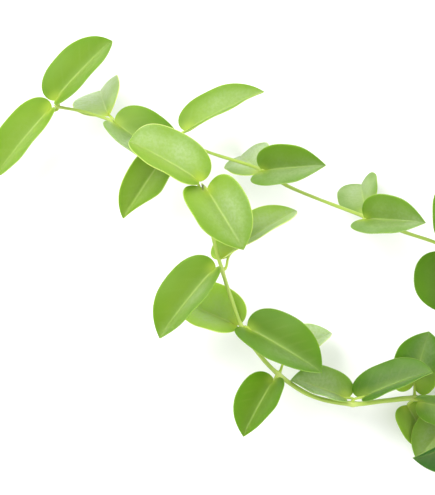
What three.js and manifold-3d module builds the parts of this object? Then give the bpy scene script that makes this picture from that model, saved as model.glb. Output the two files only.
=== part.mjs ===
// A cut spray of a climbing wax plant, laid on a table: a main stem, one side shoot, and thick
// heart-based leaves in opposite pairs, each leaf a solid of its own with its short stalk.
// Units are millimetres, +Z is up, and the table is the plane z = 0.
// Run with Node: npm packages three and manifold-3d.
import * as THREE from "three";
import { mergeVertices } from "three/addons/utils/BufferGeometryUtils.js";
import Module from "manifold-3d";

const wasm = await Module();
wasm.setup();

// Driving dimensions
const BLADE_THICKNESS = 1.2;
const HALF_WIDTH = 27; // of a full-grown blade, from midrib to margin
const FOLD = 31; // degrees that each half of a blade rises from the blade's plane
const CURL = 34; // degrees that a half bends back between midrib and margin
const ARCH = 12; // degrees that a midrib bends down between base and tip
const CREASE = 1.2; // how far from the midrib the fold is rounded
const PETIOLE_RADIUS = 1.15;
const KEEL_START = 0.04; // share of the blade's length at which the stalk meets it
const KEEL_REACH = 0.4; // share of the blade's length at which the stalk's keel runs out
const KEEL_TIP_RADIUS = 0.45;
const MAIN_STEM_RADII = [1.35, 2.3]; // at its growing tip and at its root
const SIDE_SHOOT_RADII = [1.15, 1.6];
const NODE_SWELL = 0.4; // share that the stem thickens where leaves grow
const NODE_REACH = 3.2; // half length of that swelling
const BUD_LENGTH = 4; // of a stem's growing tip
const BUD_TIP = 0.35; // how thick the bud ends, as a share of the stem
const JOINT_GAP = 0.4; // between a stalk and the stem it grows from
const SHOOT_GAP = 0.8; // between the side shoot's foot and the main stem
const SHOOT_RISE = 5.5; // how far above the main stem's lowest leaf pair the side shoot grows

// How finely the solids are faceted
const BLADE_ROWS = 10;
const BLADE_COLUMNS = 3; // on each side of the midrib
const STEM_SIDES = 8;
const STEM_STEP = 3.2;
const STEM_SAMPLES = 400; // points along a stem that are tried to find a leaf pair's place on it
const PETIOLE_SIDES = 6;
const PETIOLE_STEPS = 5;
const SLIVER = 0.05; // the most that taking out a sliver may move a surface

// The middle of the spray's footprint, in the coordinates that the tables below use
const ORIGIN = new THREE.Vector3(47.6, -6.4, 0);

// The stems' centre lines, from tip to root. A point with a pair number carries a pair of leaves.
const MAIN_STEM = [
  { at: [-12.5, 50.5, 96] },
  { at: [-10, 46, 94], pair: 1 },
  { at: [-3, 6, 81] },
  { at: [3.5, -17.5, 71], pair: 2 },
  { at: [10, -38, 65] },
  { at: [20, -64.5, 58], pair: 3 },
  { at: [32, -83.5, 52] },
  { at: [48.5, -101, 46], pair: 4 },
  { at: [75.5, -118.5, 40] },
  { at: [107.5, -125, 37], pair: 5 },
  { at: [134, -122.5, 34] },
  { at: [158, -120.5, 30], pair: 6 },
  { at: [197, -125, 18], pair: 7 },
  { at: [235, -131, 7], pair: 8 },
  { at: [268, -135, 2.4] },
];
const SIDE_SHOOT = [
  { at: [-130.5, 113, 58] },
  { at: [-127, 112, 58], pair: 1 },
  { at: [-106, 108, 59] },
  { at: [-84, 101, 60], pair: 2 },
  { at: [-31.5, 86.5, 60], pair: 3 },
  { at: [-7.5, 76, 60] },
  { at: [35.5, 61.5, 60], pair: 4 },
  { at: [54.5, 49.5, 60] },
  { at: [117, 24.5, 58], pair: 5 },
  { at: [147, 13, 54] },
  { at: [186, -2, 47], pair: 6 },
  { at: [216, -30, 36] },
  { at: [232, -75, 23] },
  { at: [230, -121, 15.5] },
];

// The leaves, each named for its stem and its pair. base and tip are the two ends of the midrib;
// roll turns the blade about the line between them, 0 with the upper face up. lobes are the reach of
// the left and the right lobe, seen from the base, and blunt is how full the tip is.
const LEAVES = {
  side_leaf_1a: {
    base: [-128.5, 117.5, 60], tip: [-83.5, 164.5, 54],
    roll: -36, halfWidth: 24, blunt: 0.3,
  },
  side_leaf_1b: { base: [-132.5, 110, 56], tip: [-176, 57.5, 42], roll: 38, halfWidth: 23, blunt: 0.5 },
  side_leaf_2a: { base: [-86.8, 105.5, 52], tip: [-94, 126, -1.6], roll: -14, blunt: -0.8 },
  side_leaf_2b: { base: [-81, 98, 64], tip: [-29, 57, 76], roll: -34, halfWidth: 28, lobes: [1, 1.5] },
  side_leaf_3a: { base: [-23.5, 93, 60], tip: [37, 124, 54], roll: -44, halfWidth: 23 },
  side_leaf_3b: { base: [-38.5, 78, 56], tip: [-75.5, 23, 44], roll: 16, halfWidth: 22, fold: 46 },
  side_leaf_4a: {
    base: [33, 60, 52], tip: [19, 73.5, -1.6],
    roll: 15, halfWidth: 23, fold: 22, lobes: [1.5, 1.3], blunt: -0.6,
  },
  side_leaf_4b: {
    base: [37.5, 61, 63], tip: [86, 65, 86],
    roll: -12, halfWidth: 25, fold: 45, lobes: [1, 2.2],
  },
  side_leaf_5a: {
    base: [119.5, 27.5, 50], tip: [116, 50.5, -1.6],
    roll: -22, halfWidth: 22.5, blunt: -0.5,
  },
  side_leaf_5b: {
    base: [118, 22.5, 61], tip: [165, 19.5, 84],
    roll: -15, halfWidth: 25, fold: 45, lobes: [0.5, 2.2],
  },
  side_leaf_6a: { base: [183, 5, 47], tip: [190.5, 60.5, 30], roll: 20 },
  side_leaf_6b: { base: [182.3, -5.5, 42.5], tip: [184, -53, 25], roll: 30 },
  main_leaf_1a: { base: [-15, 52.5, 95], tip: [-70, 83.5, 98], roll: 38, halfWidth: 27.5, blunt: 0.8 },
  main_leaf_1b: {
    base: [-8, 45, 97], tip: [20.5, -2, 114],
    roll: -2, halfWidth: 29, fold: 33, lobes: [1.4, 2.2], blunt: 0.1,
  },
  main_leaf_2a: { base: [-2, -17, 72], tip: [-46, -72.5, 68], roll: 38 },
  main_leaf_2b: {
    base: [7, -7.5, 70], tip: [62.5, 29.5, 60],
    roll: -48, halfWidth: 21.5, lobes: [2, 1], blunt: 0.6,
  },
  main_leaf_3a: { base: [14, -62, 54], tip: [-35.5, -42, 40], roll: 30, lobes: [1, 1.5] },
  main_leaf_3b: {
    base: [25, -65, 60], tip: [82.8, -99.5, 75],
    roll: -29.5, halfWidth: 27.5, lobes: [1, 1.7],
  },
  main_leaf_4a: { base: [51.5, -92, 40], tip: [91.5, -68.5, 16], roll: -45, halfWidth: 22 },
  main_leaf_4b: { base: [44.5, -106.5, 47], tip: [20.5, -150.5, 65], roll: 26, halfWidth: 22.5 },
  main_leaf_5a: {
    base: [100.5, -120, 37], tip: [58, -106, 42],
    roll: 45, halfWidth: 21, lobes: [1, 1.6],
  },
  main_leaf_5b: {
    base: [117.5, -119.3, 40], tip: [171.5, -99.5, 56],
    roll: -45, halfWidth: 22, lobes: [1.6, 1],
  },
  main_leaf_6a: { base: [157.5, -108, 26], tip: [169, -67, 36], roll: -10, halfWidth: 23, fold: 24 },
  main_leaf_6b: { base: [152, -127, 14], tip: [172, -161, -0.9], roll: -15, halfWidth: 21, fold: 20 },
  main_leaf_6c: { base: [162, -122.5, 36], tip: [204, -129, 46], roll: 34, halfWidth: 18 },
  main_leaf_7a: { base: [200, -115, 17], tip: [208, -60, 6], roll: 10 },
  main_leaf_7b: { base: [190, -134, 15], tip: [160, -171, 13], roll: 6, halfWidth: 22, fold: 14 },
  main_leaf_8a: { base: [223, -142, 13], tip: [155.6, -168, 41], roll: -45 },
  main_leaf_8b: { base: [250, -121, 6], tip: [272, -75, 7], roll: -10, halfWidth: 24 },
};

const radians = THREE.MathUtils.degToRad;

// Half of a blade's outline: x as a share of its length, y as a share of its half width.
// The lobe runs from the stalk back round to the widest point, and the flank from there to the tip.
// reach is how far back the lobe goes, 1 as usual, and blunt how full the tip is, 0 as usual.
const LOBE_SHARE = 0.45; // of the rows
const ROW_SLANT = 1.5; // how far the rows lean forward, as side veins do

function outline(row, reach, blunt) {
  const lobe = [[0, 0], [-0.1 * reach, 0.15], [-0.12 * reach, 1], [0.4, 1]];
  const flank = [[0.4, 1], [0.66 + 0.12 * blunt, 1], [0.87 + 0.15 * blunt, 0.7 + 0.2 * blunt], [1, 0]];
  const inLobe = row < LOBE_SHARE;
  const points = (inLobe ? lobe : flank).map((p) => new THREE.Vector2(...p));
  const share = inLobe ? row / LOBE_SHARE : (row - LOBE_SHARE) / (1 - LOBE_SHARE);
  return new THREE.CubicBezierCurve(...points).getPoint(share);
}

// The point of the flat blade at a row (0 at the base, 1 at the tip) and a column (-1 to 1 across).
function flatPoint(leaf, row, column) {
  const edge = outline(row, leaf.lobes[column > 0 ? 0 : 1], leaf.blunt);
  const spine = row ** ROW_SLANT;
  const across = Math.abs(column);
  return [
    leaf.length * (spine + (edge.x - spine) * across),
    leaf.halfWidth * edge.y * column,
  ];
}

// Where the midrib is at x along it, as [forward, up, slope angle].
function midrib(leaf, x) {
  const bend = radians(ARCH) / leaf.length;
  const angle = -bend * x;
  return [-Math.sin(angle) / bend, (Math.cos(angle) - 1) / bend, angle];
}

// The bent blade's mid surface at a point of the flat blade, in the blade's own axes.
function bentPoint(leaf, x, y) {
  const rise = radians(leaf.fold + CURL / 2);
  const bendBack = -radians(CURL) / leaf.halfWidth;
  const out = Math.sqrt(y * y + CREASE * CREASE) - CREASE;
  const reach = (Math.sin(rise + bendBack * out) - Math.sin(rise)) / bendBack;
  const lift = (Math.cos(rise) - Math.cos(rise + bendBack * out)) / bendBack;
  const [forward, up, angle] = midrib(leaf, x);
  return new THREE.Vector3(
    forward - lift * Math.sin(angle),
    Math.sign(y) * reach,
    up + lift * Math.cos(angle),
  );
}

// Fills in a leaf's defaults, its true length and the axes that carry its own frame to the table's.
function place(entry) {
  const leaf = { halfWidth: HALF_WIDTH, fold: FOLD, lobes: [1, 1], blunt: 0, ...entry, length: 1 };
  const base = new THREE.Vector3(...leaf.base);
  const chord = new THREE.Vector3(...leaf.tip).sub(base);
  const [forward, up] = midrib(leaf, 1);
  leaf.length = chord.length() / Math.hypot(forward, up);
  const along = chord.clone().normalize();
  const level = new THREE.Vector3(0, 0, 1).cross(along).normalize();
  const normal = along.clone().cross(level).applyAxisAngle(along, radians(leaf.roll));
  const left = normal.clone().cross(along);
  const pitch = new THREE.Matrix4().makeRotationY(Math.atan2(up, forward));
  leaf.toTable = new THREE.Matrix4()
    .makeBasis(along, left, normal)
    .setPosition(base)
    .multiply(pitch);
  return leaf;
}

// The blade's mid surface and its upward normal at a point of the flat blade, on the table.
function surface(leaf, x, y) {
  const step = 0.05; // either side of the point, to measure its slopes
  const at = bentPoint(leaf, x, y);
  const forward = bentPoint(leaf, x + step, y).sub(bentPoint(leaf, x - step, y));
  const left = bentPoint(leaf, x, y + step).sub(bentPoint(leaf, x, y - step));
  return {
    at: at.applyMatrix4(leaf.toTable),
    up: forward.cross(left).normalize().transformDirection(leaf.toTable),
  };
}

// A closed skin over rings of equal size, with one point before the first ring and one after the
// last. slant(k) says which way the quads of column k are split.
function skin(start, rings, end, slant = () => false) {
  const size = rings[0].length;
  const points = [start, ...rings.flat(), end];
  const index = [];
  const at = (ring, k) => 1 + ring * size + (k % size);
  for (let k = 0; k < size; k++) {
    index.push(0, at(0, k + 1), at(0, k));
    index.push(points.length - 1, at(rings.length - 1, k), at(rings.length - 1, k + 1));
    for (let r = 0; r + 1 < rings.length; r++) {
      const [a, b, c, d] = [at(r, k), at(r, k + 1), at(r + 1, k + 1), at(r + 1, k)];
      if (slant(k)) index.push(a, b, d, b, c, d);
      else index.push(a, b, c, a, c, d);
    }
  }
  const geometry = new THREE.BufferGeometry().setFromPoints(points);
  geometry.setIndex(index);
  return geometry;
}

// A blade as a thin closed solid, its two faces split into triangles alike.
function blade(leaf) {
  const columns = 2 * BLADE_COLUMNS;
  const rings = [];
  for (let r = 1; r < BLADE_ROWS; r++) {
    const top = [];
    const bottom = [];
    for (let c = 0; c <= columns; c++) {
      const [x, y] = flatPoint(leaf, r / BLADE_ROWS, c / BLADE_COLUMNS - 1);
      const { at, up } = surface(leaf, x, y);
      top.unshift(at.clone().addScaledVector(up, BLADE_THICKNESS / 2));
      bottom.push(at.clone().addScaledVector(up, -BLADE_THICKNESS / 2));
    }
    rings.push([...top, ...bottom]);
  }
  const slant = (k) => (k <= columns ? k < BLADE_COLUMNS : k - columns - 1 < BLADE_COLUMNS);
  const end = (x) => surface(leaf, x, 0).at;
  return skin(end(0), rings, end(leaf.length), slant);
}

// A round rod along a smooth curve. radius(t) is its radius at a share t of its length.
function rod(points, radius, sides, steps) {
  const curve = new THREE.CatmullRomCurve3(points, false, "centripetal");
  const { normals, binormals } = curve.computeFrenetFrames(steps, false);
  const rings = [];
  for (let s = 0; s <= steps; s++) {
    const centre = curve.getPointAt(s / steps);
    const ring = [];
    for (let k = 0; k < sides; k++) {
      const turn = (2 * Math.PI * k) / sides;
      ring.push(
        centre
          .clone()
          .addScaledVector(normals[s], radius(s / steps) * Math.cos(turn))
          .addScaledVector(binormals[s], radius(s / steps) * Math.sin(turn)),
      );
    }
    rings.push(ring);
  }
  return skin(curve.getPointAt(0), rings, curve.getPointAt(1));
}

// Conversions between three.js geometry and manifold-3d solids
function solid(geometry) {
  const bare = new THREE.BufferGeometry();
  bare.setAttribute("position", geometry.getAttribute("position"));
  bare.setIndex(geometry.getIndex());
  const merged = mergeVertices(bare, 1e-4);
  const made = new wasm.Manifold(
    new wasm.Mesh({
      numProp: 3,
      vertProperties: merged.attributes.position.array,
      triVerts: new Uint32Array(merged.index.array),
    }),
  );
  if (made.volume() < 0) throw new Error("a solid is inside out");
  return made;
}

function geometryOf(made) {
  const mesh = made.getMesh();
  const geometry = new THREE.BufferGeometry();
  geometry.setAttribute("position", new THREE.BufferAttribute(mesh.vertProperties, 3));
  geometry.setIndex(new THREE.BufferAttribute(mesh.triVerts, 1));
  return geometry;
}

// A stem's centre line, its radius along it, and where its leaf pairs are.
function stem(points, [tipRadius, rootRadius]) {
  const at = points.map((p) => new THREE.Vector3(...p.at));
  const curve = new THREE.CatmullRomCurve3(at, false, "centripetal");
  const length = curve.getLength();
  const shares = Array.from({ length: STEM_SAMPLES + 1 }, (_, i) => i / STEM_SAMPLES);
  const nodes = points
    .map((p, i) => ({ ...p, centre: at[i] }))
    .filter((p) => p.pair)
    .map((p) => {
      const distance = (share) => curve.getPointAt(share).distanceTo(p.centre);
      const share = shares.reduce((a, b) => (distance(b) < distance(a) ? b : a));
      return { ...p, share, along: curve.getTangentAt(share) };
    });
  const radius = (t) => {
    const swell = nodes.reduce(
      (sum, n) => sum + Math.exp(-((((t - n.share) * length) / NODE_REACH) ** 2)),
      0,
    );
    const bud = Math.min(1, BUD_TIP + ((1 - BUD_TIP) * t * length) / BUD_LENGTH);
    return (tipRadius + (rootRadius - tipRadius) * t) * (1 + NODE_SWELL * swell) * bud;
  };
  return { at, curve, length, nodes, radius, steps: Math.round(length / STEM_STEP) };
}

// Where the side shoot ends, square against the main stem above its lowest pair.
function shootFoot(main) {
  const share = main.nodes.at(-1).share - SHOOT_RISE / main.length;
  const centre = main.curve.getPointAt(share);
  const outward = new THREE.Vector3(...SIDE_SHOOT.at(-1).at)
    .sub(centre)
    .projectOnPlane(main.curve.getTangentAt(share))
    .normalize();
  return centre.addScaledVector(outward, main.radius(share) + SHOOT_GAP).toArray();
}

// A leaf's stalk, which leaves its node square to the stem and ends as a keel under the blade.
function petiole(leaf, node, stemRadius) {
  const outward = surface(leaf, 0, 0).at.sub(node.centre).projectOnPlane(node.along).normalize();
  const away = (distance) => node.centre.clone().addScaledVector(outward, distance);
  const points = [away(stemRadius + JOINT_GAP), away(stemRadius + JOINT_GAP + PETIOLE_RADIUS)];
  for (const share of [KEEL_START, KEEL_REACH / 2, KEEL_REACH]) {
    const under = surface(leaf, leaf.length * share, 0);
    points.push(under.at.addScaledVector(under.up, -PETIOLE_RADIUS / 2));
  }
  const radius = (t) => PETIOLE_RADIUS + (KEEL_TIP_RADIUS - PETIOLE_RADIUS) * t;
  return rod(points, radius, PETIOLE_SIDES, PETIOLE_STEPS);
}

// A leaf and its stalk as one solid. A tip that would reach below the table is trimmed off there,
// which leaves a small flat to rest on, and the slivers that joining makes are taken out.
function leafSolid(leaf, stalk) {
  return solid(blade(leaf)).add(solid(stalk)).trimByPlane([0, 0, 1], 0).simplify(SLIVER);
}

function material(colour, roughness) {
  return new THREE.MeshStandardMaterial({ color: colour, roughness, metalness: 0 });
}

const LEAF_MATERIAL = material(0x7fae3c, 0.4);
const STEM_MATERIAL = material(0x9ab648, 0.55);

const spray = new THREE.Group();
spray.position.copy(ORIGIN).negate();

function add(name, made, look) {
  const mesh = new THREE.Mesh(geometryOf(made), look);
  mesh.name = name;
  spray.add(mesh);
}

const main = stem(MAIN_STEM, MAIN_STEM_RADII);
const side = stem([...SIDE_SHOOT, { at: shootFoot(main) }], SIDE_SHOOT_RADII);

add("main_stem", solid(rod(main.at, main.radius, STEM_SIDES, main.steps)), STEM_MATERIAL);
add("side_shoot", solid(rod(side.at, side.radius, STEM_SIDES, side.steps)), STEM_MATERIAL);

for (const [name, entry] of Object.entries(LEAVES)) {
  const leaf = place(entry);
  const [stemName, , pairName] = name.split("_");
  const grownFrom = stemName === "main" ? main : side;
  const node = grownFrom.nodes.find((n) => n.pair === parseInt(pairName));
  const stalk = petiole(leaf, node, grownFrom.radius(node.share));
  add(name, leafSolid(leaf, stalk), LEAF_MATERIAL);
}

export default spray;
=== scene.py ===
"""A cut spray of a climbing wax plant, lying on a pale floor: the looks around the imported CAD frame.

Every leaf and stem is built again here, from the sizes of its CAD solid or close to them. All get many
more faces, the leaves a thinner rounded margin, a grooved midrib and a flared stalk, and the stems
ridges and rings. Each piece replaces its CAD node, apart from the stalks and the dried bud.
Lengths are in millimetres and angles in degrees. The frame is in metres, with its origin at ORIGIN_MM.
"""

import math
import random

import bpy
import numpy as np
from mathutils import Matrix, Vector


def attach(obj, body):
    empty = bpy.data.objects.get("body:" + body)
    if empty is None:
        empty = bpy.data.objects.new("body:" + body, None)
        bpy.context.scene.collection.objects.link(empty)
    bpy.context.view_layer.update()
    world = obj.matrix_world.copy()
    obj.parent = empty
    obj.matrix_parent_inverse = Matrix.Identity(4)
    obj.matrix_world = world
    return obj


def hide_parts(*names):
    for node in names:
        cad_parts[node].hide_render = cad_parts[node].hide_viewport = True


MM = 0.001

# The frame
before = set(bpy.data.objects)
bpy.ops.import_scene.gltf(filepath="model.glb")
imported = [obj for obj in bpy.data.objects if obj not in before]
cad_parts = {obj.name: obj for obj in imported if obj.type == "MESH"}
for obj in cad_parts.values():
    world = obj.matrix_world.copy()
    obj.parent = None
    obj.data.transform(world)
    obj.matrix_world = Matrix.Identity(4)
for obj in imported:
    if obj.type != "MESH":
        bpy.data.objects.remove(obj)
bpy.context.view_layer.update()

# Driving sizes, as in the CAD source, except that CURL is gentler here and that the side shoot's foot
# has a gap there instead of a depth
ORIGIN_MM = np.array([47.6, -6.4, 0.0])
BLADE_THICKNESS = 1.2
HALF_WIDTH = 27  # of a full-grown blade, from midrib to margin
FOLD = 31  # that each half of a blade rises from the blade's plane
CURL = 18  # that a half bends back between midrib and margin
ARCH = 12  # that a midrib bends down between base and tip
CREASE = 1.2  # how far from the midrib the fold is rounded
PETIOLE_RADIUS = 1.15
KEEL_START = 0.04  # share of the blade's length at which the stalk meets it
KEEL_REACH = 0.4  # share of the blade's length at which the CAD stalk's keel runs out
MAIN_STEM_RADII = (1.35, 2.3)  # at its growing tip and at its root
SIDE_SHOOT_RADII = (1.15, 1.6)
NODE_SWELL = 0.4  # share that a stem thickens where leaves grow
NODE_REACH = 3.2  # half length of that swelling
BUD_LENGTH = 4  # of a stem's growing tip
BUD_TIP = 0.35  # how thick that tip ends, as a share of the stem
LOWEST_PAIR = 8
SHOOT_RISE = 5.5  # how far above that pair the side shoot grows from the main stem
SHOOT_DEPTH = 1.0  # how deep the side shoot's foot is in the main stem
ROW_SLANT = 1.5  # how far the rows of a blade lean forward, as side veins do
LOBE_SHARE = 0.45  # share of the rows that is in the lobes behind the widest point

# The stems' centre lines, from tip to root. After each point comes the number of its leaf pair, or 0.
MAIN_STEM = [
    ((-12.5, 50.5, 96), 0),
    ((-10, 46, 94), 1),
    ((-3, 6, 81), 0),
    ((3.5, -17.5, 71), 2),
    ((10, -38, 65), 0),
    ((20, -64.5, 58), 3),
    ((32, -83.5, 52), 0),
    ((48.5, -101, 46), 4),
    ((75.5, -118.5, 40), 0),
    ((107.5, -125, 37), 5),
    ((134, -122.5, 34), 0),
    ((158, -120.5, 30), 6),
    ((197, -125, 18), 7),
    ((235, -131, 7), 8),
    ((268, -135, 2.4), 0),
]
SIDE_SHOOT = [
    ((-130.5, 113, 58), 0),
    ((-127, 112, 58), 1),
    ((-106, 108, 59), 0),
    ((-84, 101, 60), 2),
    ((-31.5, 86.5, 60), 3),
    ((-7.5, 76, 60), 0),
    ((35.5, 61.5, 60), 4),
    ((54.5, 49.5, 60), 0),
    ((117, 24.5, 58), 5),
    ((147, 13, 54), 0),
    ((186, -2, 47), 6),
    ((216, -30, 36), 0),
    ((232, -75, 23), 0),
    ((230, -121, 15.5), 0),
]

# The leaves: the midrib's two ends, the roll about it, and what differs from the usual blade. A pair
# of numbers is for the left and the right half, seen from the base. lobes is how far back the lobe
# reaches, square how square it is, blunt how full the tip is, and twist how many degrees the blade
# turns between base and tip.
LEAVES = {
    "side_leaf_1a": dict(
        base=(-128.5, 117.5, 60), tip=(-83.5, 164.5, 54), roll=-36,
        half_width=24, blunt=(0.3, 0.3),
    ),
    "side_leaf_1b": dict(
        base=(-132.5, 110, 56), tip=(-176, 57.5, 42), roll=38,
        half_width=23, blunt=(0.5, 0.5),
    ),
    "side_leaf_2a": dict(
        base=(-86.8, 105.5, 52), tip=(-94, 126, -1.6), roll=-14,
        blunt=(-0.8, -0.8),
    ),
    "side_leaf_2b": dict(
        base=(-81, 98, 64), tip=(-29, 57, 76), roll=-34,
        half_width=28, lobes=(1, 1.5),
    ),
    "side_leaf_3a": dict(base=(-23.5, 93, 60), tip=(37.5, 124, 54), roll=-54, half_width=23),
    "side_leaf_3b": dict(
        base=(-38.5, 78, 56), tip=(-75.5, 23, 44), roll=10,
        half_width=22, fold=38, blunt=(-1, 0),
    ),
    "side_leaf_4a": dict(
        base=(33, 60, 52), tip=(19, 73.5, -1.6), roll=15,
        half_width=23, fold=22, lobes=(1.5, 1.3), blunt=(-0.6, -0.6),
    ),
    "side_leaf_4b": dict(
        base=(37.5, 61, 63), tip=(86, 65, 86), roll=-12,
        half_width=25, fold=45, lobes=(1, 2.2),
    ),
    "side_leaf_5a": dict(
        base=(119.5, 27.5, 50), tip=(116, 50.5, -1.6), roll=-22,
        half_width=22.5, blunt=(0.8, 0.4),
    ),
    "side_leaf_5b": dict(
        base=(118, 22.5, 61), tip=(165, 19.5, 84), roll=-15,
        half_width=25, fold=45, lobes=(0.5, 2.2),
    ),
    "side_leaf_6a": dict(base=(183, 5, 47), tip=(190.5, 60.5, 30), roll=20),
    "side_leaf_6b": dict(base=(182.3, -5.5, 42.5), tip=(184, -53, 25), roll=30),
    "main_leaf_1a": dict(
        base=(-15, 52.5, 95), tip=(-70, 83.5, 98), roll=38,
        half_width=27.5, lobes=(0.3, 1.2), blunt=(0.8, 0.8),
    ),
    "main_leaf_1b": dict(
        base=(-8, 45, 97), tip=(20.5, -2, 114), roll=-7,
        half_width=29, fold=36.5, lobes=(1.1, 2.1), square=(0.6, 1), blunt=(0.2, 0),
    ),
    "main_leaf_2a": dict(base=(-2, -17, 72), tip=(-46, -72.5, 68), roll=38),
    "main_leaf_2b": dict(
        base=(7, -7.5, 70), tip=(62.5, 29.5, 60), roll=-48,
        half_width=21.5, lobes=(2, 1), blunt=(0, 0.8), twist=20,
    ),
    "main_leaf_3a": dict(base=(14, -62, 54), tip=(-35.5, -42, 40), roll=30, lobes=(1, 1.5)),
    "main_leaf_3b": dict(
        base=(25, -65, 60), tip=(82.8, -99.5, 75), roll=-29.5,
        half_width=27.5, lobes=(1, 1.7),
    ),
    "main_leaf_4a": dict(base=(51.5, -92, 40), tip=(91.5, -68.5, 16), roll=-45, half_width=22),
    "main_leaf_4b": dict(base=(44.5, -106.5, 47), tip=(20.5, -150.5, 65), roll=26, half_width=22.5),
    "main_leaf_5a": dict(
        base=(100.5, -120, 37), tip=(58, -106, 42), roll=45,
        half_width=21, lobes=(1, 2),
    ),
    "main_leaf_5b": dict(
        base=(117.5, -119.3, 40), tip=(171.5, -99.5, 56), roll=-48,
        half_width=22, lobes=(2, 0.5), blunt=(0.3, 0.3), twist=-10,
    ),
    "main_leaf_6a": dict(
        base=(157.5, -108, 26), tip=(169, -67, 36), roll=-10,
        half_width=23, fold=24, lobes=(3.1, 2.2), blunt=(0, 0.4),
    ),
    "main_leaf_6b": dict(
        base=(152, -127, 14), tip=(172, -161, -0.9), roll=-15,
        half_width=19, fold=20, lobes=(1, 1.8), square=(0, 1),
    ),
    "main_leaf_6c": dict(base=(162, -122.5, 36), tip=(204, -129, 46), roll=34, half_width=18),
    "main_leaf_7a": dict(base=(200, -115, 17), tip=(208, -60, 6), roll=10),
    "main_leaf_7b": dict(base=(190, -134, 15), tip=(160, -171, 13), roll=6, half_width=22, fold=14),
    "main_leaf_8a": dict(base=(223, -142, 13), tip=(155.6, -168, 41), roll=-45),
    "main_leaf_8b": dict(base=(250, -121, 6), tip=(272, -75, 7), roll=-10, half_width=24),
}

# How each leaf looks: how far its green has darkened with age, where 1 is mature and more is darker
# still, how much pale wax bloom and painted sheen its left and its right half have, 0 to 1, and how much
# painted light, a light green laid over shade, its base and its tip have, 0 to 1.
LOOKS = {
    "side_leaf_1a": (0.50, 0.00, 0.25, 0.00, 0.00),
    "side_leaf_1b": (0.30, 0.20, 0.05, 0.00, 0.00),
    "side_leaf_2a": (0.00, 1.00, 0.85, 0.00, 0.00),
    "side_leaf_2b": (0.75, 0.00, 0.90, 0.12, 0.00),
    "side_leaf_3a": (0.30, 0.30, 0.30, 0.00, 0.00),
    "side_leaf_3b": (0.20, 0.25, 0.10, 0.00, 0.00),
    "side_leaf_4a": (0.15, 0.70, 0.85, 0.00, 0.00),
    "side_leaf_4b": (0.60, 0.10, 0.65, 0.00, 0.00),
    "side_leaf_5a": (0.40, 0.55, 0.40, 0.00, 0.00),
    "side_leaf_5b": (0.55, 0.40, 0.75, 0.00, 0.00),
    "side_leaf_6a": (0.85, 0.10, 0.25, 0.00, 0.00),
    "side_leaf_6b": (0.90, 0.05, 0.05, 0.00, 0.00),
    "main_leaf_1a": (0.12, 0.25, 0.62, 0.00, 0.00),
    "main_leaf_1b": (0.30, 0.50, 0.28, 0.12, 0.00),
    "main_leaf_2a": (0.50, 0.40, 0.00, 0.00, 0.00),
    "main_leaf_2b": (0.00, 0.45, 1.00, 0.15, 0.10),
    "main_leaf_3a": (0.10, 0.60, 0.45, 0.20, 0.80),
    "main_leaf_3b": (0.85, 0.00, 0.25, 0.00, 0.00),
    "main_leaf_4a": (0.10, 0.85, 0.90, 0.00, 0.00),
    "main_leaf_4b": (0.75, 0.10, 0.00, 0.00, 0.00),
    "main_leaf_5a": (0.50, 0.78, 0.45, 0.00, 0.00),
    "main_leaf_5b": (1.12, 0.12, 0.25, 0.00, 0.00),
    "main_leaf_6a": (1.08, 0.10, 0.22, 0.55, 0.00),
    "main_leaf_6b": (0.45, 0.10, 0.15, 0.20, 0.15),
    "main_leaf_6c": (0.85, 0.20, 0.20, 0.00, 0.00),
    "main_leaf_7a": (0.95, 0.10, 0.20, 0.00, 0.00),
    "main_leaf_7b": (0.70, 0.20, 0.30, 0.25, 0.10),
    "main_leaf_8a": (1.50, 0.05, 0.05, 0.00, 0.00),
    "main_leaf_8b": (0.95, 0.10, 0.10, 0.00, 0.00),
}

# How finely the pieces are built
BLADE_ROWS = 56
BLADE_COLUMNS = 22  # on each side of the midrib
STALK_SIDES = 16
STALK_STEPS = 28
STEM_SIDES = 24
STEM_STEP = 1.1
CURVE_STEPS = 60  # between two points of a smooth curve, before it is spaced evenly
REST_REACH = 6  # height from which a tip that rests on the table bends


def unit(v):
    """A vector, or each vector of an array, at length 1."""
    return v / np.linalg.norm(v, axis=-1, keepdims=True)


def bezier(points, t):
    """Points at t on a cubic curve, for an array of t."""
    t = np.asarray(t)[..., None]
    a, b, c, d = points
    return (1 - t) ** 3 * a + 3 * (1 - t) ** 2 * t * b + 3 * (1 - t) * t * t * c + t**3 * d


def outline(row, reach, square, blunt):
    """Half of a blade's outline at rows from 0, the base, to 1, the tip, in shares of its size."""
    widest = (0.4, 1)
    back = (-0.1 * reach * (1 - 0.5 * square), 0.15 + 0.1 * square)
    corner = (-0.12 * reach * (1 + 0.3 * square), 1 + 0.15 * square)
    lobe_points = np.array([(0, 0), back, corner, widest])
    shoulder = (0.66 + 0.12 * blunt, 1)
    tip_side = (0.87 + 0.15 * blunt, 0.7 + 0.2 * blunt)
    flank_points = np.array([widest, shoulder, tip_side, (1, 0)])
    lobe = bezier(lobe_points, np.clip(row / LOBE_SHARE, 0, 1))
    flank = bezier(flank_points, np.clip((row - LOBE_SHARE) / (1 - LOBE_SHARE), 0, 1))
    return np.where((row < LOBE_SHARE)[..., None], lobe, flank)


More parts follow.
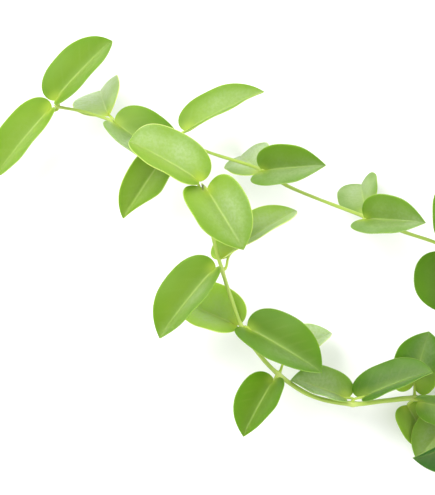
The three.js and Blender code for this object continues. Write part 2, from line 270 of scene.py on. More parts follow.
class Leaf:
    """A leaf's sizes and the axes that carry its own frame to the table's."""

    def __init__(
        self, name, base, tip, roll,
        half_width=HALF_WIDTH, fold=FOLD, lobes=(1, 1), square=(0, 0), blunt=(0, 0), twist=0,
    ):
        self.name = name
        self.lobes = lobes
        self.square = square
        self.blunt = blunt
        self.twist = twist
        self.half_width = half_width
        self.fold = fold
        self.base = np.array(base, float)
        chord = np.array(tip, float) - self.base
        bend = math.radians(ARCH)
        forward, up = math.sin(bend) / bend, (math.cos(bend) - 1) / bend
        self.length = float(np.linalg.norm(chord)) / math.hypot(forward, up)
        along = unit(chord)
        level = unit(np.cross((0, 0, 1), along))
        flat_normal = np.cross(along, level)
        turn = math.radians(roll)
        normal = math.cos(turn) * flat_normal + math.sin(turn) * np.cross(along, flat_normal)
        left = np.cross(normal, along)
        pitch = math.atan2(up, forward)
        spin = np.array(
            [
                [math.cos(pitch), 0, math.sin(pitch)],
                [0, 1, 0],
                [-math.sin(pitch), 0, math.cos(pitch)],
            ]
        )
        self.axes = np.stack([along, left, normal], axis=1) @ spin

    def edge(self, rows, half):
        """One half's outline, 0 the left and 1 the right, in shares of its size, with the tip rounded."""
        line = outline(rows, self.lobes[half], self.square[half], self.blunt[half])
        short = self.length * (1 - line[:, 0])
        radius = TIP_RADIUS * (1 + BLUNT_ROUNDING * max(self.blunt[half], 0))
        cap = 2 * radius * short * np.exp(-short / TIP_FADE)
        wide = np.sqrt((self.half_width * line[:, 1]) ** 2 + cap)
        return np.stack([line[:, 0], wide / self.half_width], axis=1)

    def bent(self, x, y):
        """The blade's mid surface over a point of the flat blade, in the blade's own axes."""
        rise = math.radians(self.fold + CURL / 2)
        bend_back = -math.radians(CURL) / self.half_width
        out = np.sqrt(y * y + CREASE * CREASE) - CREASE
        reach = (np.sin(rise + bend_back * out) - math.sin(rise)) / bend_back
        lift = (math.cos(rise) - np.cos(rise + bend_back * out)) / bend_back
        end = np.clip(np.minimum(x, self.length - x) / FILLET_FADE, 0, 1)
        radius = min(FILLET_RADIUS, FILLET_LIFT / (1 / math.cos(rise) - 1))
        radius = radius * end * end * (3 - 2 * end) + 1e-6
        run = radius * math.tan(rise)
        arc = rise * np.clip(out / run, 0, 1)
        inside = out < run
        reach = reach + np.where(inside, radius * np.sin(arc) - out * math.cos(rise), 0)
        raised = radius * (1 / math.cos(rise) - np.cos(arc))
        lift = lift + np.where(inside, raised - out * math.sin(rise), 0)
        bend = math.radians(ARCH) / self.length
        angle = -bend * x
        turn = math.radians(self.twist) * (x / self.length - 0.5)
        aside = np.sign(y) * reach
        left = aside * np.cos(turn) - lift * np.sin(turn)
        lift = aside * np.sin(turn) + lift * np.cos(turn)
        forward = -np.sin(angle) / bend - lift * np.sin(angle)
        up = (np.cos(angle) - 1) / bend + lift * np.cos(angle)
        return np.stack([forward, left, up], axis=-1)

    def surface(self, x, y):
        """The mid surface and its upward normal on the table, for arrays of flat points."""
        step = 0.05
        forward = self.bent(x + step, y) - self.bent(x - step, y)
        left = self.bent(x, y + step) - self.bent(x, y - step)
        up = unit(np.cross(forward, left))
        return self.bent(x, y) @ self.axes.T + self.base, up @ self.axes.T


def above_table(points):
    """Points with what would reach below the table bent up to rest on it."""
    height = points[:, 2]
    lowest = min(0.0, float(height.min()))
    ease = np.clip((REST_REACH - height) / (REST_REACH - lowest), 0, 1) ** 2
    return points - np.outer(ease, (0, 0, lowest))


def mesh_object(name, points, faces, material, node=None, attributes=None):
    """A smooth mesh object in the frame, from points in millimetres on the table."""
    points = above_table(points)
    mesh = bpy.data.meshes.new(name)
    mesh.from_pydata([tuple(p) for p in (points - ORIGIN_MM) * MM], [], faces)
    mesh.validate()
    mesh.shade_smooth()
    for key, values in (attributes or {}).items():
        layer = mesh.attributes.new(key, "FLOAT_VECTOR", "POINT")
        layer.data.foreach_set("vector", np.asarray(values, np.float32).ravel())
    mesh.materials.append(material)
    piece = bpy.data.objects.new(name, mesh)
    bpy.context.scene.collection.objects.link(piece)
    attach(piece, "root")
    if node:
        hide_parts(node)


def tube_faces(rings, size):
    """Quads between rings of points, and fans to the two end points that come after the rings."""
    faces = [
        (r * size + k, r * size + (k + 1) % size, (r + 1) * size + (k + 1) % size, (r + 1) * size + k)
        for r in range(rings - 1)
        for k in range(size)
    ]
    first = rings * size
    last = first + 1
    start = first - size
    faces += [(first, (k + 1) % size, k) for k in range(size)]
    faces += [(last, start + k, start + (k + 1) % size) for k in range(size)]
    return faces


# Blades
TIP_RADIUS = 2.0  # of the rounded tip
TIP_FADE = 4.0  # distance from the tip over which the rounding fades
BLUNT_ROUNDING = 1.5  # how much wider a full tip is rounded
BASE_ROWS = (0.006, 0.012)  # extra rows close to the blade's ends
TIP_ROWS = (0.992, 0.997)
CROWDING = 1.3  # how much closer the columns are at the midrib and at the margin
BASE_TAPER = 0.02  # share of the rows over which the blade thickens from its base
TIP_TAPER = 0.03
FILLET_RADIUS = 2.6  # of the round bottom of the fold, where the halves meet
FILLET_LIFT = 1.2  # most that this raises the midrib
FILLET_FADE = 9.0  # distance from the blade's ends over which it comes in
GROOVE_DEPTH = 0.05
GROOVE_WIDTH = 1.3
RIB_HEIGHT = 0.55
RIB_WIDTH = 1.0
MARGIN = 0.05  # share of the half width over which the margin is rounded
MARGIN_THICKNESS = 0.6  # of the blade's thickness
WAVE = 0.7  # height of the margin's waves
LEFT_WAVES = 1.9  # along the left margin
RIGHT_WAVES = 1.6
BLOOM_AND_SHEEN_BLEND = 4.0  # how gradually one half's wax bloom and painted sheen turn into the other's, across the midrib
VEIN_PAIRS = 6.5
VEIN_SLANT = 0.62
VEIN_BEND = 0.012
VEIN_RELIEF = 0.006
VEIN_WIDTH = 0.09  # share of the distance between two veins
OUTER_START = 0.1  # share of the length at which the tip's painted light starts to take over
OUTER_FADE = 0.35


def blade(leaf, draw):
    """A leaf's blade: two faces that meet in a rounded margin, grooved above and ribbed below."""
    rows = np.linspace(0, 1, BLADE_ROWS + 1)[1:-1]
    rows = np.concatenate([BASE_ROWS, rows, TIP_ROWS])
    shares = np.linspace(0, 1, BLADE_COLUMNS + 1)
    shares = 1 - (1 - shares**CROWDING) ** CROWDING
    columns = np.concatenate([-shares[::-1], shares[1:]])
    left, right = leaf.edge(rows, 0), leaf.edge(rows, 1)
    edge = np.where((columns > 0)[None, :, None], left[:, None], right[:, None])
    spine = (rows**ROW_SLANT)[:, None]
    across = np.abs(columns)
    x = leaf.length * (spine + (edge[..., 0] - spine) * across[None, :])
    y = leaf.half_width * edge[..., 1] * columns[None, :]
    at, up = leaf.surface(x, y)

    along = np.clip(x / leaf.length, 0, 1)
    wide = np.abs(y) / leaf.half_width
    phase = draw.uniform(0, 2 * math.pi), draw.uniform(0, 2 * math.pi)
    ripple = np.where(
        y > 0,
        np.sin(2 * math.pi * LEFT_WAVES * along + phase[0]),
        np.sin(2 * math.pi * RIGHT_WAVES * along + phase[1]),
    )
    at = at + up * (WAVE * ripple * wide**2 * np.sin(math.pi * along))[..., None]

    inner = 1 - MARGIN
    taper = 1 - (1 - MARGIN_THICKNESS) * across**2
    rounded = np.sqrt(np.clip(1 - (np.clip(across - inner, 0, None) / MARGIN) ** 2, 0, 1))
    ends = np.clip(np.minimum(rows / BASE_TAPER, (1 - rows) / TIP_TAPER), 0, 1) ** 0.5
    half = BLADE_THICKNESS / 2 * (taper * rounded)[None, :] * ends[:, None]
    groove = GROOVE_DEPTH * np.exp(-((y / GROOVE_WIDTH) ** 2)) * (1 - along**2)
    rib = RIB_HEIGHT * np.exp(-((y / RIB_WIDTH) ** 2)) * (1 - along)
    vein = (x - VEIN_SLANT * np.abs(y) - VEIN_BEND * y * y) * VEIN_PAIRS / leaf.length
    near = np.abs(vein - np.round(vein))
    swell = VEIN_RELIEF * np.exp(-((near / VEIN_WIDTH) ** 2)) * (1 - across[None, :] ** 4)
    top = at + up * (half - (groove + swell) * ends[:, None])[..., None]
    bottom = at - up * (half + (rib + swell) * ends[:, None])[..., None]

    count = len(columns)
    ring = np.concatenate([top[:, ::-1], bottom[:, 1:-1]], axis=1)
    size = ring.shape[1]
    ends_at = leaf.surface(np.array([0.0, leaf.length]), np.array([0.0, 0.0]))[0]
    points = np.concatenate([ring.reshape(-1, 3), ends_at])
    faces = tube_faces(len(rows), size)

    def laid(values):
        """Values on the blade's grid, in the order of the points: the top and then the bottom."""
        flat = np.broadcast_to(values, x.shape)
        return np.concatenate([flat[:, ::-1], flat[:, 1:-1]], axis=1).ravel()

    above = np.zeros((len(rows), count))
    below = np.ones((len(rows), size - count))
    underside = np.concatenate([above, below], axis=1).ravel()
    where = np.stack([laid(along), laid(across[None, :]), underside], axis=1)
    where = np.concatenate([where, [(0, 0, 0), (1, 0, 0)]])
    veins = np.stack([laid(vein), laid(y), np.zeros(len(underside))], axis=1)
    veins = np.concatenate([veins, [(0, 0, 0), (VEIN_PAIRS, 0, 0)]])
    age, left_bloom_and_sheen, right_bloom_and_sheen, base_painted_light, tip_painted_light = LOOKS[leaf.name]
    blend = 1 / (1 + np.exp(-y / BLOOM_AND_SHEEN_BLEND))
    bloom_and_sheen = laid(right_bloom_and_sheen + (left_bloom_and_sheen - right_bloom_and_sheen) * blend)
    outward = np.clip((along - OUTER_START) / OUTER_FADE, 0, 1)
    # painted light, going from the base's amount to the tip's
    painted_light = laid(base_painted_light + (tip_painted_light - base_painted_light) * outward)
    look = np.stack([np.full_like(bloom_and_sheen, age), bloom_and_sheen, painted_light], axis=1)
    look = np.concatenate([look, [(age, right_bloom_and_sheen, base_painted_light), (age, right_bloom_and_sheen, tip_painted_light)]])
    return points, faces, {"leaf_at": where, "leaf_vein": veins, "leaf_look": look}


# Rods
def spline(points, count):
    """Points spaced evenly on a smooth centripetal curve through points, and the curve's length."""
    p = np.array(points, float)
    p = np.concatenate([[2 * p[0] - p[1]], p, [2 * p[-1] - p[-2]]])
    curve = []
    for i in range(1, len(p) - 2):
        p0, p1, p2, p3 = p[i - 1 : i + 3]
        d0, d1, d2 = (np.sum((b - a) ** 2) ** 0.25 for a, b in ((p0, p1), (p1, p2), (p2, p3)))
        t1 = (p1 - p0) / d0 - (p2 - p0) / (d0 + d1) + (p2 - p1) / d1
        t2 = (p2 - p1) / d1 - (p3 - p1) / (d1 + d2) + (p3 - p2) / d2
        t1, t2 = t1 * d1, t2 * d1
        s = np.linspace(0, 1, CURVE_STEPS, endpoint=False)[:, None]
        curve.append(
            p1
            + t1 * s
            + (-3 * p1 + 3 * p2 - 2 * t1 - t2) * s * s
            + (2 * p1 - 2 * p2 + t1 + t2) * s**3
        )
    curve = np.concatenate(curve + [p[-2][None]])
    steps = np.linalg.norm(np.diff(curve, axis=0), axis=1)
    along = np.concatenate([[0], np.cumsum(steps)])
    wanted = np.linspace(0, along[-1], count)
    return np.stack([np.interp(wanted, along, curve[:, k]) for k in range(3)], axis=1), along[-1]


def rod_frames(centres):
    """Tangents and two square directions that turn as little as possible along a line of centres."""
    tangents = unit(np.gradient(centres, axis=0))
    side = np.cross(tangents[0], (0, 0, 1) if abs(tangents[0][2]) < 0.9 else (1, 0, 0))
    sides = []
    for t in tangents:
        side = unit(side - t * (side @ t))
        sides.append(side)
    sides = np.array(sides)
    return tangents, sides, np.cross(tangents, sides)


def rod(centres, radii, sides):
    """A closed round rod. radii holds a radius for each centre, or one for each point of each ring."""
    _, a, b = rod_frames(centres)
    turn = np.linspace(0, 2 * math.pi, sides, endpoint=False)
    radii = np.asarray(radii, float)
    if radii.ndim == 1:
        radii = radii[:, None] * np.ones(sides)
    ring = (
        centres[:, None, :]
        + a[:, None, :] * (radii * np.cos(turn))[..., None]
        + b[:, None, :] * (radii * np.sin(turn))[..., None]
    )
    points = np.concatenate([ring.reshape(-1, 3), centres[[0, -1]]])
    return points, tube_faces(len(centres), sides)


class Stem:
    """A stem's centre line, its radius along it, and where its leaf pairs are."""

    def __init__(self, points, radii):
        self.points = [p for p, _ in points]
        _, self.length = spline(self.points, 2)
        self.count = round(self.length / STEM_STEP)
        self.centres, _ = spline(self.points, self.count)
        self.tangents, _, _ = rod_frames(self.centres)
        self.shares = np.linspace(0, 1, self.count)
        self.tip_radius, self.root_radius = radii
        self.pairs = {}
        for p, pair in points:
            if pair:
                near = int(np.argmin(np.linalg.norm(self.centres - p, axis=1)))
                self.pairs[pair] = near

    def radius(self, share):
        """The radius at a share of the length, with the swelling at each leaf pair."""
        share = np.asarray(share, float)
        swell = sum(
            np.exp(-(((share - self.shares[i]) * self.length / NODE_REACH) ** 2))
            for i in self.pairs.values()
        )
        bud = np.minimum(1, BUD_TIP + (1 - BUD_TIP) * share * self.length / BUD_LENGTH)
        plain = self.tip_radius + (self.root_radius - self.tip_radius) * share
        return plain * (1 + NODE_SWELL * swell) * bud


# Stems
RIDGES = 5
RIDGE_HEIGHT = 0.05
RIDGE_TURN = 23  # length over which the ridges turn by one radian
RIDGE_STEM = 1.5  # radius of the stem from which the ridges have their full height
SLOW_WAVES = ((0.05, 7.3), (0.04, 3.1))  # unevenness of the skin: height, and length of one radian
RING_DEPTH = 0.16
RING_WIDTH = 0.45
RING_OFFSET = 2.3
NODE_TINT_REACH = 1.6  # of the paler skin at a node, in shares of NODE_REACH


def stem_piece(name, stem, material, draw):
    """A stem with faint ridges, and the two scars that ring each of its nodes."""
    distance = stem.shares * stem.length
    radii = stem.radius(stem.shares)
    turn = np.linspace(0, 2 * math.pi, STEM_SIDES, endpoint=False)
    ridges = RIDGE_HEIGHT * np.cos(RIDGES * turn[None, :] + distance[:, None] / RIDGE_TURN)
    (long_height, long_wave), (short_height, short_wave) = SLOW_WAVES
    slow = long_height * np.sin(distance / long_wave + draw.uniform(0, 6))
    slow = slow + short_height * np.sin(distance / short_wave)
    rings = np.zeros_like(distance)
    node = np.zeros_like(distance)
    for i in stem.pairs.values():
        off = distance - distance[i]
        for side in (-RING_OFFSET, RING_OFFSET):
            rings += RING_DEPTH * np.exp(-(((off - side) / RING_WIDTH) ** 2))
        node = np.maximum(node, np.exp(-((off / (NODE_TINT_REACH * NODE_REACH)) ** 2)))
    ridges = ridges * np.clip(radii / RIDGE_STEM, 0, 1)[:, None]
    full = radii[:, None] + ridges + slow[:, None] - rings[:, None]
    points, faces = rod(stem.centres, full, STEM_SIDES)
    skin = [np.tile(turn, stem.count), np.repeat(node, STEM_SIDES), np.zeros(stem.count * STEM_SIDES)]
    at = np.concatenate([np.stack(skin, axis=1), [(0, 0, 0), (0, 2, 1)]])
    mesh_object(f"{name}_fine", points, faces, material, name, {"stem_at": at})


# Stalks
FLARE = 0.55  # how much thicker a stalk springs from its node
FLARE_REACH = 2.2
STALK_FOOT = 0.55  # where its line starts inside the stem, in shares of the stem's radius
STALK_CLEAR = 0.4  # between the stem's skin and the stalk's first bend, besides its own radius
STALK_THINNING = 0.6  # power of the share of the stalk that is left
STALK_END = 0.2  # radius of the keel's end
KEEL_END = 1.6  # where the keel runs out here, in shares of KEEL_REACH


def stalk_piece(leaf, stem, pair, material):
    """A leaf's stalk: it springs from its node with a flare and ends as a keel under the blade."""
    index = stem.pairs[pair]
    centre = stem.centres[index]
    tangent = stem.tangents[index]
    stem_radius = float(stem.radius(stem.shares[index]))
    outward = leaf.surface(np.array(0.0), np.array(0.0))[0] - centre
    outward = unit(outward - tangent * (outward @ tangent))
    line = [
        centre + outward * (stem_radius * STALK_FOOT),
        centre + outward * (stem_radius + STALK_CLEAR + PETIOLE_RADIUS),
    ]
    for share in (KEEL_START, KEEL_REACH / 2, KEEL_REACH, KEEL_END * KEEL_REACH):
        at, up = leaf.surface(np.array(leaf.length * share), np.array(0.0))
        sunk = PETIOLE_RADIUS / 2 if share < KEEL_REACH else PETIOLE_RADIUS / 4
        line.append(at - up * sunk)
    centres, length = spline(line, STALK_STEPS)
    along = np.linspace(0, 1, STALK_STEPS)
    radii = PETIOLE_RADIUS * (1 - along) ** STALK_THINNING + STALK_END * along
    radii = radii + FLARE * np.exp(-((along * length / FLARE_REACH) ** 2))
    points, faces = rod(centres, radii, STALK_SIDES)
    share = np.concatenate([np.repeat(along, STALK_SIDES), [0, 1]])
    age = LOOKS[leaf.name][0]
    at = np.stack([share, np.full(len(share), age), np.zeros(len(share))], axis=1)
    mesh_object(f"{leaf.name}_stalk", points, faces, material, None, {"stalk_at": at})


# The dried bud at the main stem's youngest pair
STUB_LINE = [(-11.7, 49.2, 95.2), (-11.8, 48.3, 100.5), (-11.4, 45.2, 104.5)]
STUB_SHARES = (0, 0.6, 1)
STUB_RADII = (0.9, 0.75, 0.25)
STUB_STEPS = 12


def bud_piece(material):
    """A short dried stub that stands up between the youngest pair."""
    centres, _ = spline(STUB_LINE, STUB_STEPS)
    radii = np.interp(np.linspace(0, 1, STUB_STEPS), STUB_SHARES, STUB_RADII)
    points, faces = rod(centres, radii, STALK_SIDES)
    mesh_object("main_bud", points, faces, material)


# Materials
class Nodes:
    """A short way to write a material's node tree."""

    def __init__(self, name):
        self.material = bpy.data.materials.new(name)
        self.material.use_nodes = True
        self.tree = self.material.node_tree
        self.shader = self.tree.nodes["Principled BSDF"]

    def add(self, kind, inputs=None, **settings):
        node = self.tree.nodes.new(kind)
        for key, value in settings.items():
            setattr(node, key, value)
        for key, value in (inputs or {}).items():
            self.put(node.inputs[key], value)
        return node

    def put(self, socket, value):
        if isinstance(value, bpy.types.NodeSocket):
            self.tree.links.new(value, socket)
        else:
            socket.default_value = value

    def math(self, operation, a, b=0.0, c=0.0, clamp=False):
        node = self.add("ShaderNodeMath", operation=operation, use_clamp=clamp)
        for socket, value in zip(node.inputs, (a, b, c)):
            self.put(socket, value)
        return node.outputs[0]

    def attribute(self, name):
        split = self.add("ShaderNodeSeparateXYZ")
        source = self.add("ShaderNodeAttribute", attribute_name=name)
        self.put(split.inputs[0], source.outputs["Vector"])
        return split.outputs

    def noise(self, scale, detail):
        place = self.add("ShaderNodeTexCoord")
        node = self.add("ShaderNodeTexNoise", {"Scale": scale, "Detail": detail, "Roughness": 0.55})
        self.put(node.inputs["Vector"], place.outputs["Object"])
        return node.outputs["Fac"]

    def mix(self, share, a, b):
        node = self.add("ShaderNodeMix", data_type="RGBA", blend_type="MIX")
        self.put(node.inputs[0], share)
        self.put(node.inputs[6], a)
        self.put(node.inputs[7], b)
        return node.outputs[2]

    def ramp(self, value, low, high, start=0.0, end=1.0):
        node = self.add("ShaderNodeMapRange", interpolation_type="SMOOTHSTEP")
        for socket, number in zip(node.inputs, (value, low, high, start, end)):
            self.put(socket, number)
        return node.outputs[0]

    def bump(self, height, strength, distance):
        node = self.add("ShaderNodeBump", {"Strength": strength, "Distance": distance, "Height": height})
        return node.outputs[0]

    def surface(self, colour, roughness, normal):
        self.put(self.shader.inputs["Base Color"], colour)
        self.put(self.shader.inputs["Roughness"], roughness)
        self.put(self.shader.inputs["Normal"], normal)

    def translucent(self, weight, radius, scale):
        self.shader.inputs["Subsurface Weight"].default_value = weight
        self.shader.inputs["Subsurface Radius"].default_value = radius
        self.shader.inputs["Subsurface Scale"].default_value = scale


def rgb(*levels):
    """A colour as the eye reads it, 0 to 255 for red, green and blue, as the shader's linear values."""
    linear = [((c / 255 + 0.055) / 1.055) ** 2.4 if c > 10 else c / 255 / 12.92 for c in levels]
    return (*linear, 1.0)


YOUNG = rgb(130, 161, 38)
MATURE = rgb(66, 106, 2)
MARGIN_SHADE_GREEN = rgb(72, 117, 0)  # painted shade: a darker green mixed in towards the margin
OLDEST = rgb(20, 80, 0)
PAINTED_LIGHT_GREEN = rgb(176, 206, 70)  # painted light: a light green that lifts shaded parts of a leaf
BLOOM_AND_SHEEN = rgb(180, 194, 160)  # pale wax bloom, and painted sheen
# paler midrib and veins; on the midrib partly painted light against the crease's shade
MIDRIB = rgb(200, 216, 136)
MIDRIB_PAINTED_LIGHT = rgb(140, 168, 76)  # painted light: a lighter green on both sides of the midrib
BASE_TINT = rgb(166, 184, 60)  # close to the stalk
# painted highlight along the margin
MARGIN_HIGHLIGHT = rgb(204, 214, 124)
UNDERSIDE = rgb(138, 168, 92)

# Scales of the leaf's patterns, in cells a metre
CLOUDS = 28.0
BLOOM_AND_SHEEN_PATCHES = 16.0
VEIN_BREAKS = 45.0
FINE_GRAIN = 260.0
BLOOM_AND_SHEEN_GRAIN = 420.0
SKIN_CELLS = 900.0


def leaf_material():
    """A waxy leaf: its age sets the green; wax bloom with painted sheen, midrib, veins and the margin's
    painted highlight are paler, painted light lifts the midrib's sides and shaded parts, and painted
    shade darkens the blade towards its margin.
    """
    n = Nodes("leaf_blade")
    along, across, under = n.attribute("leaf_at")
    vein, offset, _ = n.attribute("leaf_vein")
    age, bloom_and_sheen, painted_light = n.attribute("leaf_look")
    cloud = n.noise(CLOUDS, 3.0)
    fine = n.noise(FINE_GRAIN, 2.0)
    tone = n.math("ADD", age, n.math("MULTIPLY_ADD", cloud, 0.3, -0.15), clamp=True)
    colour = n.mix(tone, YOUNG, MATURE)
    # painted shade: darker green towards the margin, where a half curls away from the light
    outer = n.math("MULTIPLY", n.ramp(across, 0.35, 0.95), n.math("MULTIPLY_ADD", age, 0.2, 0.3))
    colour = n.mix(outer, colour, MARGIN_SHADE_GREEN)
    colour = n.mix(n.ramp(age, 1.0, 1.5), colour, OLDEST)
    # painted light: a light green that lifts the parts of a leaf that lie in shade
    colour = n.mix(painted_light, colour, PAINTED_LIGHT_GREEN)

    off = n.math("ABSOLUTE", offset)
    # wax bloom and painted sheen: a pale patchy mix, strongest towards the midrib, that also lifts shaded
    # halves
    inner = n.ramp(across, 0.35, 0.95, 1.0, 0.2)
    inner = n.math("ADD", inner, n.math("POWER", bloom_and_sheen, 3.0), clamp=True)
    patch = n.ramp(n.noise(BLOOM_AND_SHEEN_PATCHES, 3.0), 0.32, 0.64, 0.4, 1.0)
    grain = n.ramp(n.noise(BLOOM_AND_SHEEN_GRAIN, 2.0), 0.35, 0.65, 0.7, 1.0)
    grown = n.ramp(along, 0.03, 0.38, 0.4, 1.0)
    wax_and_sheen = n.math("MULTIPLY", n.math("MULTIPLY", bloom_and_sheen, grain), n.math("MULTIPLY", inner, patch))
    wax_and_sheen = n.math("MULTIPLY", wax_and_sheen, grown)
    colour = n.mix(wax_and_sheen, colour, BLOOM_AND_SHEEN)

    near = n.math("ABSOLUTE", n.math("SUBTRACT", vein, n.math("ROUND", vein)))
    line = n.ramp(near, 0.02, 0.2, 1.0, 0.0)
    line = n.math("MULTIPLY", line, n.ramp(across, 0.6, 0.95, 1.0, 0.0))
    line = n.math("MULTIPLY", line, n.ramp(n.noise(VEIN_BREAKS, 2.0), 0.35, 0.65))
    colour = n.mix(n.math("MULTIPLY", line, 0.025), colour, MIDRIB)

    # the midrib's own paler line, made paler still as painted light against the shade in the fold's
    # crease
    rib = n.math("MULTIPLY", n.ramp(off, 0.1, 2.8, 1.0, 0.0), n.ramp(along, 0.3, 1.0, 0.34, 0.05))
    rib = n.math("MULTIPLY", rib, n.math("MULTIPLY_ADD", age, -0.5, 1.0))
    # painted light along both sides of the midrib, against the shade of the steep fold
    midrib_painted_light = n.math("MULTIPLY", n.ramp(off, 0.5, 9.0, 0.45, 0.0), n.ramp(along, 0.3, 0.9, 1.0, 0.3))
    colour = n.mix(midrib_painted_light, colour, MIDRIB_PAINTED_LIGHT)
    colour = n.mix(rib, colour, MIDRIB)
    base = n.math("MULTIPLY", n.ramp(along, 0.0, 0.16, 1.0, 0.0), n.ramp(off, 0.0, 12.0, 0.85, 0.0))
    base = n.math("MULTIPLY", base, n.math("MULTIPLY_ADD", age, -0.6, 1.0), clamp=True)
    colour = n.mix(base, colour, BASE_TINT)
    colour = n.mix(n.math("MULTIPLY", under, 0.5), colour, UNDERSIDE)
    # painted highlight: a pale line along the margin, where its thick edge catches the light
    rim_highlight_strength = n.math("MAXIMUM", n.math("MULTIPLY_ADD", age, -1.8, 0.9), 0.15)
    rim = n.math("MULTIPLY", n.ramp(across, 0.965, 0.995), rim_highlight_strength)
    colour = n.mix(rim, colour, MARGIN_HIGHLIGHT)

    rough = n.math("MULTIPLY_ADD", fine, 0.12, 0.36)
    rough = n.math("ADD", rough, n.math("MULTIPLY", under, 0.2))
    cells = n.add("ShaderNodeTexVoronoi", {"Scale": SKIN_CELLS}, feature="DISTANCE_TO_EDGE")
    n.put(cells.inputs["Vector"], n.add("ShaderNodeTexCoord").outputs["Object"])
    height = n.math("ADD", n.math("MULTIPLY", cells.outputs["Distance"], 0.35), cloud)
    height = n.math("SUBTRACT", height, n.math("MULTIPLY", line, 0.08))
    n.surface(colour, rough, n.bump(height, 0.3, 0.0004))
    n.translucent(0.6, (0.8, 1.0, 0.3), 0.0025)
    n.shader.inputs["IOR"].default_value = 1.45
    n.shader.inputs["Specular IOR Level"].default_value = 0.3
    n.shader.inputs["Specular Tint"].default_value = (0.92, 1.0, 0.62, 1)
    return n.material


STEM_YOUNG = rgb(166, 190, 78)
STEM_OLD = rgb(130, 156, 58)
NODE_TINT = rgb(196, 206, 120)
CUT_TINT = rgb(214, 214, 160)
SPECK_TINT = rgb(150, 140, 80)
STEM_CLOUDS = 45.0  # cells a metre, as for the leaf
STEM_SPECKS = 900.0


def stem_material():
    """A smooth green stem, paler at its nodes, with faint lengthwise streaks and a pale cut end."""
    n = Nodes("stem_bark")
    turn, node, cut = n.attribute("stem_at")
    cloud = n.noise(STEM_CLOUDS, 4.0)
    colour = n.mix(n.math("MULTIPLY_ADD", cloud, 0.8, -0.1, clamp=True), STEM_YOUNG, STEM_OLD)
    streak = n.math("SINE", n.math("MULTIPLY_ADD", turn, 9.0, n.math("MULTIPLY", cloud, 8.0)))
    colour = n.mix(n.math("MULTIPLY_ADD", streak, 0.08, 0.08), colour, STEM_OLD)
    colour = n.mix(n.math("MULTIPLY", node, 0.45, clamp=True), colour, NODE_TINT)
    specks = n.ramp(n.noise(STEM_SPECKS, 2.0), 0.64, 0.72)
    colour = n.mix(n.math("MULTIPLY", specks, 0.35), colour, SPECK_TINT)
    colour = n.mix(cut, colour, CUT_TINT)
    height = n.math("ADD", streak, n.math("MULTIPLY", cloud, 3.0))
    n.surface(colour, n.math("MULTIPLY_ADD", cloud, 0.2, 0.36), n.bump(height, 0.3, 0.0002))
    n.translucent(0.15, (0.6, 1.0, 0.3), 0.0015)
    return n.material


STALK_TINT = rgb(176, 198, 74)
STALK_CLOUDS = 60.0


def stalk_material():
    """A leaf stalk: yellower than the blade, and greener towards its keel."""
    n = Nodes("leaf_stalk")
    share, age, _ = n.attribute("stalk_at")
    cloud = n.noise(STALK_CLOUDS, 3.0)
    leafy = n.mix(age, YOUNG, MATURE)
    colour = n.mix(n.ramp(share, 0.3, 0.9, 0.15, 0.6), STALK_TINT, leafy)
    colour = n.mix(n.math("MULTIPLY", cloud, 0.3), colour, STEM_OLD)
    n.surface(colour, n.math("MULTIPLY_ADD", cloud, 0.2, 0.34), n.bump(cloud, 0.25, 0.0003))
    n.translucent(0.15, (0.6, 1.0, 0.3), 0.0015)
    return n.material


DRIED_GREEN = rgb(92, 104, 44)
DRIED_BROWN = rgb(58, 56, 30)
WRINKLES = 700.0


def bud_material():
    """Dried brown-green tissue with a rough, wrinkled skin."""
    n = Nodes("dried_bud")
    cloud = n.noise(WRINKLES, 4.0)
    colour = n.mix(cloud, DRIED_GREEN, DRIED_BROWN)
    n.surface(colour, n.math("MULTIPLY_ADD", cloud, 0.2, 0.6), n.bump(cloud, 0.6, 0.0003))
    return n.material


# The plant
MAIN_SEED = 1
SIDE_SEED = 2
LEAF_SEED = 100  # of the first leaf


def shoot_foot(main):
    """Where the side shoot ends: inside the main stem, just above its lowest pair."""
    lowest = main.shares[main.pairs[LOWEST_PAIR]]
    index = int(np.argmin(np.abs(main.shares - (lowest - SHOOT_RISE / main.length))))
    centre, tangent = main.centres[index], main.tangents[index]
    outward = np.array(SIDE_SHOOT[-1][0]) - centre
    outward = unit(outward - tangent * (outward @ tangent))
    return tuple(centre + outward * (float(main.radius(main.shares[index])) - SHOOT_DEPTH))


def build_plant():
    """Every piece of the spray."""
    blade_look, bark, stalk_look = leaf_material(), stem_material(), stalk_material()
    main = Stem(MAIN_STEM, MAIN_STEM_RADII)
    side = Stem([*SIDE_SHOOT, (shoot_foot(main), 0)], SIDE_SHOOT_RADII)
    stem_piece("main_stem", main, bark, random.Random(MAIN_SEED))
    stem_piece("side_shoot", side, bark, random.Random(SIDE_SEED))
    bud_piece(bud_material())
    for number, (name, sizes) in enumerate(LEAVES.items()):
        draw = random.Random(LEAF_SEED + number)
        leaf = Leaf(name, **sizes)
        points, faces, attributes = blade(leaf, draw)
        mesh_object(f"{name}_blade", points, faces, blade_look, name, attributes)
        stem_name, _, pair = name.split("_")
        stalk_piece(leaf, main if stem_name == "main" else side, int(pair[0]), stalk_look)


# The stage
PIXEL_MM = 0.8  # of the plane at REFERENCE_HEIGHT, in the photograph
PHOTO_SIZE = (435, 495)
REFERENCE_HEIGHT = 30
CAMERA_DISTANCE = 5000
SENSOR = 36
FLOOR_SIZE = 6.0  # half a side, in metres
LIGHT_AIM = (0, 0, 0.05)  # in metres
HORIZON_LIGHT = 1.45
ZENITH_LIGHT = 0.9


def add_camera():
    """The photograph's view: straight down on the table's middle, from far away."""
    data = bpy.data.cameras.new("camera")
    data.sensor_width = SENSOR
    data.lens = SENSOR * CAMERA_DISTANCE / (PHOTO_SIZE[1] * PIXEL_MM)
    data.clip_end = 100
    camera = bpy.data.objects.new("camera", data)
    bpy.context.scene.collection.objects.link(camera)
    above = np.array([0, 0, REFERENCE_HEIGHT + CAMERA_DISTANCE])
    camera.location = Vector((above - ORIGIN_MM) * MM)
    bpy.context.scene.camera = camera


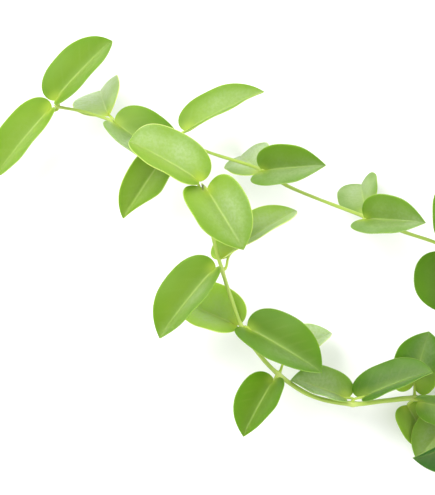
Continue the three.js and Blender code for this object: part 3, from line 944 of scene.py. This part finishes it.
def add_floor():
    """A plain pale floor."""
    n = Nodes("floor")
    n.shader.inputs["Base Color"].default_value = (0.92, 0.92, 0.92, 1)
    n.shader.inputs["Roughness"].default_value = 0.9
    n.shader.inputs["Specular IOR Level"].default_value = 0.1
    mesh = bpy.data.meshes.new("floor")
    corners = [(x * FLOOR_SIZE, y * FLOOR_SIZE, 0) for x, y in ((-1, -1), (1, -1), (1, 1), (-1, 1))]
    mesh.from_pydata(corners, [], [(0, 1, 2, 3)])
    mesh.materials.append(n.material)
    floor = bpy.data.objects.new("floor", mesh)
    bpy.context.scene.collection.objects.link(floor)


def add_light(name, place, size, power):
    """A square soft light at a place in metres, aimed at the spray's middle."""
    data = bpy.data.lights.new(name, "AREA")
    data.shape = "SQUARE"
    data.size = size
    data.energy = power
    light = bpy.data.objects.new(name, data)
    light.location = place
    light.rotation_euler = (Vector(LIGHT_AIM) - Vector(place)).to_track_quat("-Z", "Y").to_euler()
    bpy.context.scene.collection.objects.link(light)


def add_lights():
    """Soft studio light: a white room, dimmer overhead, a key from the upper left and a rim light."""
    world = bpy.data.worlds.new("world")
    world.use_nodes = True
    tree = world.node_tree
    background = tree.nodes["Background"]
    place = tree.nodes.new("ShaderNodeTexCoord")
    split = tree.nodes.new("ShaderNodeSeparateXYZ")
    tree.links.new(place.outputs["Generated"], split.inputs[0])
    fade = tree.nodes.new("ShaderNodeMapRange")
    fade.interpolation_type = "SMOOTHSTEP"
    for socket, number in zip(list(fade.inputs)[1:5], (0.3, 1.0, HORIZON_LIGHT, ZENITH_LIGHT)):
        socket.default_value = number
    tree.links.new(split.outputs["Z"], fade.inputs[0])
    tree.links.new(fade.outputs[0], background.inputs["Strength"])
    background.inputs["Color"].default_value = (1, 1, 1, 1)
    bpy.context.scene.world = world
    add_light("key", (-0.7, 0.8, 1.4), 1.0, 26)
    add_light("rim", (1.2, -0.3, 0.9), 0.8, 8)
    bpy.context.scene.view_settings.view_transform = "Standard"


add_camera()
add_floor()
add_lights()
build_plant()
